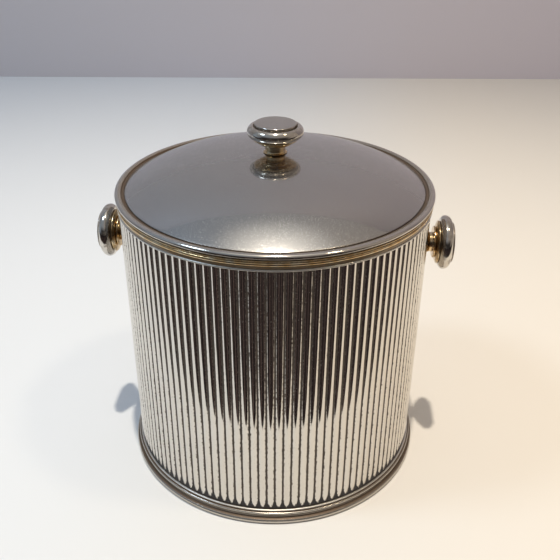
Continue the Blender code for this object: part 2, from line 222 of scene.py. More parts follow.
def copied_round(mesh, copies, first_angle, finish):
    """The mesh repeated round Z by the ring_of_copies tree, as one plain mesh."""
    tree = bpy.data.node_groups.get("ring_of_copies") or ring_of_copies()
    carrier = carrier_of(mesh)
    modifier = carrier.modifiers.new("ring", "NODES")
    modifier.node_group = tree
    values = {"Copies": copies, "First Angle": first_angle, "Weld Distance": WELD, "Finish": finish}
    for socket in tree.interface.items_tree:
        if socket.item_type == "SOCKET" and socket.name in values:
            modifier[socket.identifier] = values[socket.name]
    return tidy(evaluated_mesh(carrier))


# ---------------------------------------------------------------- finishes

class Nodes:
    """A node tree being made, with short calls for the nodes that the trees here share."""

    def __init__(self, tree):
        self.tree = tree

    def add(self, kind, **settings):
        """A new node with some of its settings given."""
        node = self.tree.nodes.new(kind)
        for key, value in settings.items():
            setattr(node, key, value)
        return node

    def feed(self, socket, value):
        """Link a socket to an output, or set it to a plain value."""
        if isinstance(value, bpy.types.NodeSocket):
            self.tree.links.new(value, socket)
        else:
            socket.default_value = value

    def math(self, operation, first, second=0.0, third=0.0):
        """One arithmetic node."""
        node = self.add("ShaderNodeMath", operation=operation)
        for socket, value in zip(node.inputs, (first, second, third)):
            self.feed(socket, value)
        return node.outputs["Value"]

    def axes(self, vector):
        """The three numbers of a vector."""
        split = self.add("ShaderNodeSeparateXYZ")
        self.feed(split.inputs["Vector"], vector)
        return split.outputs

    def step(self, value, low, high):
        """0 below low, 1 above high, eased between; low above high turns it round."""
        node = self.add("ShaderNodeMapRange", interpolation_type="SMOOTHSTEP")
        self.feed(node.inputs["Value"], value)
        node.inputs["From Min"].default_value = low
        node.inputs["From Max"].default_value = high
        return node.outputs["Result"]

    def span(self, value, low, high):
        """A 0 to 1 value spread evenly over low to high."""
        node = self.add("ShaderNodeMapRange")
        self.feed(node.inputs["Value"], value)
        node.inputs["To Min"].default_value = low
        node.inputs["To Max"].default_value = high
        return node.outputs["Result"]

    def mix(self, share, first, second):
        """The first colour turning into the second."""
        node = self.add("ShaderNodeMix", data_type="RGBA")
        sockets = [socket for socket in node.inputs if socket.enabled]
        for socket, value in zip(sockets, (share, first, second)):
            self.feed(socket, value if isinstance(value, (float, bpy.types.NodeSocket)) else (*value, 1.0))
        return next(socket for socket in node.outputs if socket.enabled)


class Finish(Nodes):
    """A Principled material being made."""

    def __init__(self, name, metallic, roughness):
        self.material = bpy.data.materials.new(name)
        self.material.use_nodes = True
        super().__init__(self.material.node_tree)
        self.shader = self.tree.nodes["Principled BSDF"]
        self.shader.inputs["Metallic"].default_value = metallic
        self.shader.inputs["Roughness"].default_value = roughness
        self.place = self.add("ShaderNodeTexCoord").outputs["Object"]

    def attribute(self, name):
        """A number that the mesh carries, such as reach or rise."""
        return self.add("ShaderNodeAttribute", attribute_name=name).outputs["Fac"]

    def noise(self, size, detail=2.0, roughness=0.5, stretch=(1.0, 1.0, 1.0)):
        """Noise from 0 to 1 with features of about this size in millimetres, longer where stretched."""
        scaled = self.add("ShaderNodeMapping")
        self.feed(scaled.inputs["Vector"], self.place)
        scaled.inputs["Scale"].default_value = [1.0 / (size * MM * longer) for longer in stretch]
        node = self.add("ShaderNodeTexNoise")
        self.feed(node.inputs["Vector"], scaled.outputs["Vector"])
        node.inputs["Scale"].default_value = 1.0
        node.inputs["Detail"].default_value = detail
        node.inputs["Roughness"].default_value = roughness
        return node.outputs["Fac"]

    def from_axis(self):
        """Distance from the bucket's axis, in millimetres."""
        flat = self.add("ShaderNodeVectorMath", operation="MULTIPLY")
        self.feed(flat.inputs[0], self.place)
        flat.inputs[1].default_value = (1.0 / MM, 1.0 / MM, 0.0)
        length = self.add("ShaderNodeVectorMath", operation="LENGTH")
        self.feed(length.inputs[0], flat.outputs["Vector"])
        return length.outputs["Value"]

    def turned_lines(self, spacing, reach, rise):
        """Fine lines that run round the axis, as a lathe or a polishing wheel leaves them."""
        unit = self.add("ShaderNodeVectorMath", operation="NORMALIZE")
        self.feed(unit.inputs[0], self.place)
        node = self.add("ShaderNodeTexNoise", noise_dimensions="4D")
        self.feed(node.inputs["Vector"], unit.outputs["Vector"])
        self.feed(node.inputs["W"], self.math("DIVIDE", self.math("ADD", reach, rise), spacing))
        node.inputs["Scale"].default_value = 0.9
        node.inputs["Detail"].default_value = 3.0
        return node.outputs["Fac"]

    def bump(self, height, depth):
        """Relief of about this depth in millimetres, added over what is there."""
        node = self.add("ShaderNodeBump")
        self.feed(node.inputs["Height"], height)
        node.inputs["Distance"].default_value = depth * MM
        there = self.shader.inputs["Normal"]
        if there.is_linked:
            self.tree.links.new(there.links[0].from_socket, node.inputs["Normal"])
        self.tree.links.new(node.outputs["Normal"], there)

    def set(self, **sockets):
        """Feed the shader's own sockets; an underscore stands for a space in a name."""
        for name, value in sockets.items():
            self.feed(self.shader.inputs[name.replace("_", " ")], value)


def fluted_silver():
    """Bright plated ribs, with a dull brown patina down in the grooves, and painted shade round the tips,
    where the grooves stay near black.
    """
    colours = bpy.context.scene.bucket_finishes
    crest = span("outer_shell")[0]
    finish = Finish("fluted_silver", 1.0, 0.1)
    sunk = finish.math("SUBTRACT", crest, finish.from_axis())
    ragged = finish.noise(0.7, detail=3.0, roughness=0.6, stretch=(1.0, 1.0, 1.6))
    patchy = finish.span(finish.noise(16.0, detail=2.0), -0.16, 0.16)
    level = finish.math("MULTIPLY_ADD", ragged, 1.3, finish.math("ADD", sunk, patchy))
    floor = finish.step(sunk, GROOVE_DEPTH - 0.07, GROOVE_DEPTH - 0.02)
    patina = finish.math("MAXIMUM", finish.step(level, 1.12, 1.18), floor)
    inside = finish.step(sunk, GROOVE_DEPTH + 0.15, GROOVE_DEPTH + 0.25)
    specks = finish.step(finish.noise(0.5, detail=1.0), 0.72, 0.77)
    dirt = finish.math("MAXIMUM", patina, finish.math("MULTIPLY", specks, 0.7))
    dirt = finish.math("MULTIPLY", dirt, finish.math("SUBTRACT", 1.0, inside))
    tint = finish.noise(6.0, detail=3.0, stretch=(1.0, 1.0, 9.0))
    silver = finish.mix(tint, colours.silver, colours.silver_warm)
    # Below TIPS_START the grooves keep the near-black patina colour: painted shade low on the wall, round
    # the rib tips. Brown patina comes in above TIPS_END.
    up = finish.axes(finish.place)["Z"]
    clear_of_tip_shade = finish.step(up, TIPS_START * MM, TIPS_END * MM)
    browner = finish.math("MULTIPLY", finish.noise(3.0), clear_of_tip_shade)
    brown = finish.mix(finish.math("MULTIPLY", browner, 1.5), colours.patina, colours.brown_patina_and_shade)
    finish.set(Base_Color=finish.mix(dirt, silver, brown))
    finish.set(Metallic=finish.math("MULTIPLY_ADD", dirt, -0.9, 1.0))
    smears = finish.span(finish.noise(4.0, detail=3.0, stretch=(1.0, 1.0, 3.0)), 0.03, 0.09)
    finish.set(Roughness=finish.math("MAXIMUM", smears, finish.math("MULTIPLY", dirt, 0.6)))
    finish.bump(finish.noise(2.2, detail=2.0, stretch=(1.0, 1.0, 14.0)), 0.05)
    finish.bump(finish.noise(0.7, detail=2.0), 0.006)
    return finish.material


def plated_metal(name, recess, roughness=0.14, warm=0.35, dulled=0.0):
    """Turned silver plate; recess says how far each point is darkened and browned: tarnished in some places,
    painted shade and a painted dark reflection in others.
    """
    colours = bpy.context.scene.bucket_finishes
    finish = Finish(name, 1.0, roughness)
    reach, rise = finish.attribute("reach"), finish.attribute("rise")
    cloud = finish.noise(9.0, detail=4.0, roughness=0.6)
    plate = finish.mix(finish.span(cloud, 0.0, warm * 2.0), colours.silver, colours.silver_warm)
    film = finish.span(finish.noise(5.0, detail=4.0, roughness=0.65), dulled * 0.6, dulled * 1.4)
    plate = finish.mix(film, plate, colours.film)
    grime_and_shade_noise = finish.noise(1.2, detail=4.0, roughness=0.65)
    # Darker and browner where the caller's recess says: tarnished plate in some places, painted shade and a
    # painted dark reflection in others.
    browning_and_shade = recess(finish, reach, rise, finish.math("SUBTRACT", grime_and_shade_noise, 0.5))
    brown = finish.mix(finish.noise(4.0), colours.tarnish_and_shade, colours.brown_patina_and_shade)
    finish.set(Base_Color=finish.mix(browning_and_shade, plate, brown))
    finish.set(Metallic=finish.math("MULTIPLY_ADD", browning_and_shade, -0.5, 1.0))
    smears = finish.span(finish.noise(6.0, detail=4.0), roughness * 0.65, roughness * 1.5)
    finish.set(Roughness=finish.math("MAXIMUM", smears, finish.math("MULTIPLY", browning_and_shade, 0.45)))
    finish.bump(finish.turned_lines(0.9, reach, rise), 0.004)
    finish.bump(finish.noise(7.0, detail=2.0), 0.02)
    return finish.material


def worn_brass(name, dull=0.5, grimy=None):
    """Brass where the plate has gone, mottled from gold to brown; grimy says where it is dark."""
    colours = bpy.context.scene.bucket_finishes
    finish = Finish(name, 1.0, 0.2)
    reach, rise = finish.attribute("reach"), finish.attribute("rise")
    mottle = finish.noise(5.5, detail=5.0, roughness=0.62)
    fine = finish.noise(2.6, detail=3.0)
    gold = finish.mix(finish.step(mottle, 0.36, 0.66), colours.brass, colours.brass_pale)
    brown = finish.math("MULTIPLY", finish.step(fine, 0.42, 0.72), dull)
    metal = finish.mix(brown, gold, colours.brass_brown)
    if grimy:
        dirty = grimy(finish, reach, rise, finish.math("SUBTRACT", fine, 0.5))
        metal = finish.mix(dirty, metal, colours.brown_patina_and_shade)
        finish.set(Metallic=finish.math("MULTIPLY_ADD", dirty, -0.7, 1.0))
    finish.set(Base_Color=metal)
    finish.set(Roughness=finish.span(finish.noise(2.5, detail=4.0), 0.1, 0.28))
    finish.bump(finish.noise(3.0, detail=2.0), 0.01)
    return finish.material


def lid_silver():
    """The top of the lid: a dulled mirror speckled with fine wear, with a hazy coat and a few pits."""
    colours = bpy.context.scene.bucket_finishes
    edge = span("lid_dome")[0]
    finish = Finish("lid_satin_silver", 1.0, 0.1)
    reach, rise = finish.attribute("reach"), finish.attribute("rise")
    cloud = finish.noise(30.0, detail=4.0, roughness=0.55)
    metal = finish.mix(cloud, colours.satin, colours.satin_warm)
    grime_and_shade_noise = finish.noise(1.4, detail=4.0, roughness=0.65)
    rim = finish.step(finish.math("MULTIPLY_ADD", grime_and_shade_noise, 1.6, reach), edge + 0.2, edge + 1.2)
    pits = finish.math("MULTIPLY", finish.step(finish.noise(0.8, detail=1.0), 0.77, 0.82), 0.5)
    dirt = finish.math("MAXIMUM", rim, pits)
    finish.set(Base_Color=finish.mix(dirt, metal, colours.tarnish_and_shade))
    scratched = finish.step(finish.noise(0.5, detail=3.0, roughness=0.7), 0.58, 0.66)
    worn = finish.span(finish.noise(14.0, detail=5.0, roughness=0.6), 0.0, 0.48)
    mirror = finish.span(finish.noise(22.0, detail=4.0), 0.05, 0.12)
    rough = finish.math("MULTIPLY_ADD", scratched, worn, mirror)
    finish.set(Roughness=finish.math("ADD", rough, finish.math("MULTIPLY", dirt, 0.2)))
    finish.shader.inputs["Coat Weight"].default_value = 1.0
    finish.shader.inputs["Coat Roughness"].default_value = 0.36
    finish.shader.inputs["Coat IOR"].default_value = 1.7
    finish.bump(finish.turned_lines(0.5, reach, rise), 0.0015)
    finish.bump(finish.noise(18.0, detail=2.0), 0.04)
    return finish.material


def drawn_steel():
    """Bright drawn steel with fine rings round it and water marks."""
    colours = bpy.context.scene.bucket_finishes
    finish = Finish("drawn_steel", 1.0, 0.25)
    reach, rise = finish.attribute("reach"), finish.attribute("rise")
    rings = finish.turned_lines(0.8, reach, rise)
    marks = finish.noise(16.0, detail=3.0, roughness=0.5)
    finish.set(Base_Color=finish.mix(marks, colours.steel, colours.steel_dull))
    finish.set(Roughness=finish.span(finish.noise(8.0, detail=4.0), 0.28, 0.45))
    finish.bump(rings, 0.004)
    return finish.material


def fastener_steel():
    """Plain zinc-grey steel with small handling marks."""
    colours = bpy.context.scene.bucket_finishes
    finish = Finish("fastener_steel", 1.0, 0.35)
    marks = finish.noise(1.5, detail=4.0, roughness=0.6)
    finish.set(Base_Color=finish.mix(marks, colours.steel_dull, colours.steel))
    finish.set(Roughness=finish.span(finish.noise(0.9, detail=3.0), 0.28, 0.5))
    finish.bump(marks, 0.01)
    return finish.material


def seal_rubber():
    """Matt dark rubber, slightly dusty."""
    colours = bpy.context.scene.bucket_finishes
    finish = Finish("seal_rubber", 0.0, 0.6)
    dust = finish.noise(3.0, detail=5.0, roughness=0.7)
    finish.set(Base_Color=finish.mix(finish.step(dust, 0.45, 0.75), colours.rubber, colours.rubber_dusty))
    finish.set(Roughness=finish.span(dust, 0.5, 0.75))
    finish.bump(finish.noise(0.4, detail=2.0), 0.02)
    return finish.material


def base_felt():
    """Dark green felt: matted fibres in two directions, worn paler in patches."""
    colours = bpy.context.scene.bucket_finishes
    finish = Finish("base_felt", 0.0, 0.95)
    one_way = finish.noise(0.35, detail=3.0, roughness=0.7, stretch=(5.0, 1.0, 1.0))
    other_way = finish.noise(0.35, detail=3.0, roughness=0.7, stretch=(1.0, 5.0, 1.0))
    fibres = finish.math("MAXIMUM", one_way, other_way)
    worn = finish.noise(22.0, detail=4.0)
    shade = finish.math("MULTIPLY_ADD", worn, 0.5, finish.math("SUBTRACT", fibres, 0.3))
    finish.set(Base_Color=finish.mix(shade, colours.felt, colours.felt_pale))
    finish.shader.inputs["Sheen Weight"].default_value = 0.3
    finish.bump(fibres, 0.15)
    return finish.material


def packing_foam():
    """Cream insulating foam with open cells."""
    colours = bpy.context.scene.bucket_finishes
    finish = Finish("packing_foam", 0.0, 0.9)
    cells = finish.add("ShaderNodeTexVoronoi")
    finish.feed(cells.inputs["Vector"], finish.place)
    cells.inputs["Scale"].default_value = 700.0
    spots = finish.step(cells.outputs["Distance"], 0.15, 0.55)
    finish.set(Base_Color=finish.mix(spots, colours.foam_dark, colours.foam))
    finish.bump(spots, 0.2)
    return finish.material


# ---------------------------------------------------------------- settings

def colour(name, description, red, green, blue):
    """A colour setting."""
    return bpy.props.FloatVectorProperty(
        name=name, description=description, default=(red, green, blue),
        subtype="COLOR", size=3, min=0.0, max=1.0)


def length(name, description, millimetres):
    """A length setting, kept in metres as Blender does."""
    return bpy.props.FloatProperty(
        name=name, description=description, default=millimetres * MM,
        subtype="DISTANCE", unit="LENGTH", precision=5)


def power(name, description, watts):
    """A lamp's power setting."""
    return bpy.props.FloatProperty(
        name=name, description=description, default=watts, min=0.0, subtype="POWER", unit="POWER")


class BucketFinishes(bpy.types.PropertyGroup):
    """Colours of the metals, the patina and the soft parts."""

    silver: colour("Silver", "Bright plate", 0.71, 0.69, 0.65)
    silver_warm: colour("Warm silver", "Plate that has yellowed a little", 0.68, 0.63, 0.56)
    film: colour("Grey film", "Plate dulled by a grey-brown film", 0.34, 0.30, 0.25)
    satin: colour("Satin lid", "Duller plate on top of the lid", 0.48, 0.48, 0.465)
    satin_warm: colour("Warm satin lid", "Lid plate where it has yellowed", 0.49, 0.46, 0.425)
    # Near-black patina colour; low on the fluted wall, round the rib tips, it also stands for painted shade.
    patina: colour("Patina", "Dark down in the grooves", 0.028, 0.024, 0.025)
    # Browner patina colour; plated_metal also uses it for painted shade and a painted dark reflection.
    brown_patina_and_shade: colour("Brown patina", "Browner patina", 0.105, 0.078, 0.058)
    # Brown colour of tarnished plate; plated_metal also uses it for painted shade and a painted dark
    # reflection.
    tarnish_and_shade: colour("Tarnish", "Brown tarnish in the recesses", 0.13, 0.085, 0.05)
    brass: colour("Brass", "Bare brass", 0.72, 0.48, 0.22)
    brass_pale: colour("Pale brass", "Brass with some plate left", 0.78, 0.66, 0.46)
    brass_brown: colour("Brown brass", "Brass that has gone brown", 0.20, 0.125, 0.05)
    steel: colour("Steel", "Liner and fastener steel", 0.64, 0.64, 0.63)
    steel_dull: colour("Dull steel", "Steel with water marks", 0.50, 0.50, 0.49)
    rubber: colour("Rubber", "Seal and gasket", 0.022, 0.022, 0.023)
    rubber_dusty: colour("Dusty rubber", "Seal where dust clings", 0.07, 0.068, 0.065)
    felt: colour("Felt", "Pad under the base", 0.018, 0.07, 0.04)
    felt_pale: colour("Worn felt", "Pad where it is worn", 0.06, 0.14, 0.09)
    foam: colour("Foam", "Insulation", 0.80, 0.76, 0.64)
    foam_dark: colour("Foam cells", "Insulation, inside its cells", 0.55, 0.50, 0.38)


class BucketRibs(bpy.types.PropertyGroup):
    """The ribs of the wall."""

    count: bpy.props.IntProperty(
        name="Ribs", description="Number of ribs round the wall", default=120, min=24, max=240)
    share: bpy.props.FloatProperty(
        name="Rib share", description="Part of the pitch that a rib takes", default=0.76,
        min=0.4, max=0.95, subtype="FACTOR")
    rise: length("Rib rise", "Crest above the rib's two edges", 0.5)
    tip: length("Tip length", "Length over which a rib narrows to its pointed foot", 6.6)
    tip_gap: length("Tip gap", "Plain ground under the tips", 0.5)


class BucketKnobs(bpy.types.PropertyGroup):
    """The three mushroom knobs."""

    head_radius: length("Head radius", "Widest radius of the head", 17.4)
    button_radius: length("Button radius", "Radius of the flat button in the head", 13.0)
    bead_radius: length("Bead radius", "Radius of the brass bead under the cone", 10.4)
    neck_radius: length("Neck radius", "Radius of the neck", 6.3)


class BucketStage(bpy.types.PropertyGroup):
    """Table, backdrop, lights and camera."""

    turn: bpy.props.FloatProperty(
        name="Stage turn", description="Turn of the table and the lights about the bucket",
        default=math.radians(4.36), subtype="ANGLE", unit="ROTATION")
    lens: bpy.props.FloatProperty(
        name="Lens", description="Camera focal length in millimetres", default=48.26, min=10.0, max=200.0)
    # Table colours are painted light: the cool tint is the bluish room light on the left, and the warm tint
    # is the warm light on the right.
    table: colour("Table", "Pale table top on the cool side", 0.80, 0.84, 0.88)
    table_warm_lit: colour("Warm side of the table", "Table top on the warm side", 0.88, 0.82, 0.73)
    # Backdrop colours are painted light: cool where the bluish room light falls on the left, and warm and
    # brighter where the warm light falls on the right.
    wall: colour("Wall", "Backdrop on the cool side", 0.75, 0.73, 0.77)
    wall_warm_lit: colour("Warm side of the wall", "Backdrop on the warm side", 0.88, 0.81, 0.87)
    ceiling: colour("Ceiling", "Soft light from above", 0.78, 0.77, 0.75)
    room_left: colour("Room on the left", "Soft cool light from the left", 0.26, 0.31, 0.38)
    room_right: colour("Room on the right", "Soft warm light from the right", 0.36, 0.31, 0.27)
    room_front: colour("Room in front", "Unlit room in front of the bucket", 0.035, 0.031, 0.03)
    lamp: colour("Lamp", "Main lamp overhead", 1.0, 0.9, 0.76)
    lamp_cool: colour("Cool lamp", "Bluish lamp on the left", 0.66, 0.82, 1.0)
    lamp_warm: colour("Warm lamp", "Yellowish lamp on the right", 1.0, 0.85, 0.62)
    lamp_power: power("Lamp power", "Power of the main lamp", 164.0)
    cool_power: power("Cool power", "Power of the bluish lamp on the left", 14.0)
    warm_power: power("Warm power", "Power of the yellowish lamp on the right", 6.0)
    dark: colour("Dark streaks", "Darkest part of the unlit room in front", 0.008, 0.007, 0.009)
    dark_warm: colour("Brown streaks", "Brown part of the unlit room in front", 0.11, 0.082, 0.078)


# ---------------------------------------------------------------- the fluted wall

def rib_row(half_pitch, half_width, closeness):
    """Across one pitch: (distance along the wall, height above the groove floor) pairs.

    closeness runs from 0 along the body of a rib to 1 at its very tip.
    """
    ribs = bpy.context.scene.bucket_ribs
    rise = ribs.rise / MM
    foot = GROOVE_DEPTH - rise
    lip = 0.09
    facets = 10
    width = half_width * math.sqrt(1.0 - closeness ** 2)
    row = [(-half_pitch, 0.0), (-half_pitch * 0.5 - (width + lip) * 0.5, 0.0), (-width - lip, 0.0)]
    for facet in range(facets + 1):
        share = 2.0 * facet / facets - 1.0
        out = share ** 2 * (1.0 - closeness ** 2) + closeness ** 2
        row.append((share * width, foot + rise * (1.0 - out)))
    row += [(width + lip, 0.0), (half_pitch * 0.5 + (width + lip) * 0.5, 0.0), (half_pitch, 0.0)]
    return row


def rib_strip(crest, inner, bottom, top):
    """One rib with half a groove on each side, and the flat inner wall behind it."""
    ribs = bpy.context.scene.bucket_ribs
    tip, gap = ribs.tip / MM, ribs.tip_gap / MM
    half_pitch = math.pi * crest / ribs.count
    half_width = half_pitch * ribs.share
    ground = crest - GROOVE_DEPTH
    straight = 5
    levels = []
    for along in (0.05, 0.12, 0.22, 0.36, 0.52, 0.70, 0.86, 1.0):
        width_share = math.sin(math.pi / 2 * along ** 0.8)
        levels.append((bottom + gap + tip * along, math.sqrt(1.0 - width_share ** 2)))
    body_start = bottom + gap + tip
    levels += [(body_start + (top - body_start) * i / straight, 0.0) for i in range(1, straight)]
    levels.append((top, 0.0))
    rows = [(height, rib_row(half_pitch, half_width, closeness)) for height, closeness in levels]
    step = 0.12
    low_ground = [(across, 0.0) for across, _ in rows[0][1]]
    rows = [(bottom, low_ground), (rows[0][0] - step, low_ground)] + rows

    shape = bmesh.new()
    grid = []
    for height, row in rows:
        line = []
        for across, proud in row:
            angle = across / crest
            radius = (ground + proud) * MM
            line.append(shape.verts.new((radius * math.cos(angle), radius * math.sin(angle), height * MM)))
        grid.append(line)
    for height, row in (rows[-1], rows[0]):
        line = []
        for across, _ in row:
            angle = across / crest
            radius = inner * MM
            line.append(shape.verts.new((radius * math.cos(angle), radius * math.sin(angle), height * MM)))
        grid.append(line)
    for level, line in enumerate(grid):
        above = grid[(level + 1) % len(grid)]
        for k in range(len(line) - 1):
            shape.faces.new((line[k], line[k + 1], above[k + 1], above[k]))
    mesh = bpy.data.meshes.new("rib_strip")
    shape.to_mesh(mesh)
    shape.free()
    return mesh


class BUCKET_OT_fluted_wall(bpy.types.Operator):
    """Build the fluted outer wall with its ribs"""

    bl_idname = "bucket.fluted_wall"
    bl_label = "Fluted Wall"

    def execute(self, context):
        crest, bottom, top = span("outer_shell")
        finish = fluted_silver()
        strip = rib_strip(crest, WALL_BACK, bottom, top)
        wall = copied_round(strip, context.scene.bucket_ribs.count, 0.0, finish)
        show("fluted_wall", wall, finish, "bucket", "silver_plate", "outer_shell")
        return {"FINISHED"}


class BUCKET_OT_wire_rings(bpy.types.Operator):
    """Build the drawn-wire rings that end the flutes"""

    bl_idname = "bucket.wire_rings"
    bl_label = "Wire Rings"

    def execute(self, context):
        def recess(finish, reach, rise, grime_and_shade_noise):
            # The wire's back, where the upper wire meets the collar and the lower one the foot, is darkened
            # and browned: painted shade in the crease.
            ragged = finish.math("MULTIPLY_ADD", grime_and_shade_noise, 0.5, reach)
            return finish.step(ragged, WIRE_CORNER, WIRE_CORNER - 0.3)

        finish = plated_metal("wire_silver", recess, roughness=0.3)
        for name, node in (("upper_wire_ring", "upper_bead_ring"), ("lower_wire_ring", "lower_bead_ring")):
            outer, bottom, top = span(node)
            half = (top - bottom) / 2
            outline = [(WIRE_BACK, top)] + arc((outer - half, bottom + half), (half, half), 90, -90, 16)
            outline.append((WIRE_BACK, bottom))
            show(name, lathe(outline), finish, "bucket", "silver_plate", node)
        return {"FINISHED"}


# ---------------------------------------------------------------- foot, base and screws

SHELF = 7.9                   # height of the step on top of the small bead
SMALL_BEAD = 0.85             # radius of the foot's upper bead
BIG_BEAD = 1.85               # radius of the foot's lower bead


def foot_outline():
    """The foot moulding: a small bead over a hollow over a large bead, with a flange inside."""
    outer, bottom, top = span("foot_ring")
    skirt_top = top - bottom
    skirt_face, skirt_back = outer - 5.9, outer - 7.2
    flange, flange_bottom, flange_top = outer - 11.7, 4.3, 5.5
    cove, cove_edge = outer - 2.9, outer - 2.75
    outline = [(skirt_face, skirt_top), (skirt_face, SHELF)]
    outline += arc((outer - 2.65, SHELF - SMALL_BEAD), (SMALL_BEAD, SMALL_BEAD), 90, -70, 12)
    outline += [(cove_edge, 5.9), (cove, 5.1), (cove_edge, 4.4), (outer - 2.35, 3.9)]
    outline += arc((outer - BIG_BEAD, BIG_BEAD), (BIG_BEAD, BIG_BEAD), 82, -90, 22)
    outline += [(outer - 5.2, 0.0), (skirt_back, 1.5), (skirt_back, flange_bottom)]
    outline += [(flange, flange_bottom), (flange, flange_top), (skirt_back, flange_top)]
    outline.append((skirt_back, skirt_top))
    return [(radius, bottom + height) for radius, height in outline]


class BUCKET_OT_foot(bpy.types.Operator):
    """Build the foot moulding"""

    bl_idname = "bucket.foot"
    bl_label = "Foot"

    def execute(self, context):
        outer = span("foot_ring")[0]

        def recess(finish, reach, rise, grime_and_shade_noise):
            ragged = finish.math("MULTIPLY_ADD", grime_and_shade_noise, 0.9, rise)
            # The cove is tarnished brown, and there is a dark band in the crease above the big bead; the
            # shelf under the wire ring and the big bead's underside by the table are painted shade.
            cove = finish.math("MULTIPLY", finish.step(ragged, 3.2, 3.8), finish.step(ragged, 6.5, 6.1))
            corner = finish.math("MULTIPLY", finish.step(ragged, 3.1, 3.5), finish.step(ragged, 4.8, 4.2))
            behind = finish.step(reach, outer - 2.2, outer - 2.6)
            shelf = finish.math("MULTIPLY", finish.step(rise, SHELF - 0.35, SHELF - 0.1), behind)
            under = finish.math("MULTIPLY", finish.step(ragged, 1.2, 0.5), 0.6)
            sunk = finish.math("MAXIMUM", finish.math("MULTIPLY", cove, 0.6), corner)
            return finish.math("MAXIMUM", finish.math("MAXIMUM", sunk, shelf), under)

        finish = plated_metal("foot_silver", recess, roughness=0.2, warm=0.5, dulled=0.5)
        show("foot_moulding", lathe(foot_outline()), finish, "bucket", "silver_plate", "foot_ring")
        return {"FINISHED"}


def screw_shape(radius, bottom, top, head_radius, head_top, at):
    """A pan-head screw pointing up, with a cross recess in its head and a thread on its shank."""
    thread, turns, pitch, rounding = 0.16, 5, 0.7, 0.35
    blade_width, blade_height = 0.42, 1.0
    outline = [(0.0, top), (radius - thread, top - 0.4)]
    for step in range(turns):
        height = top - pitch - step * pitch
        outline += [(radius, height), (radius - thread, height - pitch / 2)]
    outline += [(radius, head_top + 0.2), (radius, head_top), (head_radius, head_top)]
    outline += arc((head_radius - rounding, bottom + rounding), (rounding, rounding), 0, -90, 6)
    outline.append((0.0, bottom))
    mesh = lathe(outline, closed=False, easing=0.05, turns=SCREW_TURNS)
    carrier = carrier_of(mesh)
    blade = bmesh.new()
    for turn in (0.0, math.pi / 2):
        size = Matrix.Diagonal((head_radius * 1.15 * MM, blade_width * MM, blade_height * MM, 1.0))
        bmesh.ops.create_cube(blade, size=1.0, matrix=Matrix.Rotation(turn, 4, "Z") @ size)
    slot_mesh = bpy.data.meshes.new("cross")
    blade.to_mesh(slot_mesh)
    blade.free()
    slot_mesh.transform(Matrix.Translation((0.0, 0.0, bottom * MM)))
    cross = carrier_of(slot_mesh)
    cross.data.validate()
    cut = carrier.modifiers.new("cross", "BOOLEAN")
    cut.operation = "DIFFERENCE"
    cut.solver = "EXACT"
    cut.use_self = True
    cut.object = cross
    made = evaluated_mesh(carrier)
    bpy.data.objects.remove(cross)
    made.transform(Matrix.Translation((at * MM, 0.0, 0.0)))
    return made


class BUCKET_OT_base(bpy.types.Operator):
    """Build the base plate, its felt pad and the three screws that hold it"""

    bl_idname = "bucket.base"
    bl_label = "Base"

    def execute(self, context):
        def recess(finish, reach, rise, grime_and_shade_noise):
            return finish.step(grime_and_shade_noise, 0.02, 0.3)

        outer, bottom, top = span("base_plate")
        plate = lathe([(0.0, top), (outer, top), (outer, bottom), (0.0, bottom)], closed=False)
        finish = plated_metal("plate_silver", recess, roughness=0.26)
        show("bottom_plate", plate, finish, "bucket", "silver_plate", "base_plate")
        outer, bottom, top = span("base_pad")
        pad = lathe([(0.0, top), (outer, top), (outer, bottom), (0.0, bottom)], closed=False, easing=0.5)
        show("felt_pad", pad, base_felt(), "bucket", "base_felt", "base_pad")
        screws = ["base_screw_1", "base_screw_2", "base_screw_3"]
        low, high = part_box(screws[0])
        circle = (low.y + high.y) / 2 / MM
        head_radius = (high.x - low.x) / 2 / MM
        shank_radius, head_height = 1.0, 1.1
        bottom, top = low.z / MM, high.z / MM
        one = screw_shape(shank_radius, bottom, top, head_radius, bottom + head_height, circle)
        steel = fastener_steel()
        made = copied_round(one, len(screws), math.pi / 2, steel)
        show("bottom_screws", made, steel, "bucket", "fastener_steel", *screws)
        return {"FINISHED"}


# ---------------------------------------------------------------- collar and liner

def collar_outline():
    """The collar: a plain band, a rounded band, a fine groove and a lip; ledge and skirt inside."""
    outer, bottom, top = span("top_collar")
    lip, band, band_half = 0.45, 1.15, 1.1
    mouth, ledge, ledge_top, ledge_bottom = outer - 4.0, outer - 9.5, top - 2.8, top - 4.0
    plain, plain_top, plain_bottom = outer - 0.8, top - 3.5, top - 5.1
    skirt_face, skirt_back = outer - 3.2, outer - 4.4
    outline = [(mouth, top)]
    outline += arc((outer - 0.75, top - lip), (lip, lip), 90, -60, 8)
    outline += [(outer - 1.0, top - 0.95)]
    outline += arc((outer - band, top - 2.25), (band, band_half), 75, -75, 16)
    outline += [(plain, plain_top), (plain, plain_bottom), (skirt_face, plain_bottom)]
    outline += [(skirt_face, bottom), (skirt_back, bottom), (skirt_back, ledge_bottom)]
    outline += [(ledge, ledge_bottom), (ledge, ledge_top), (mouth, ledge_top)]
    return outline


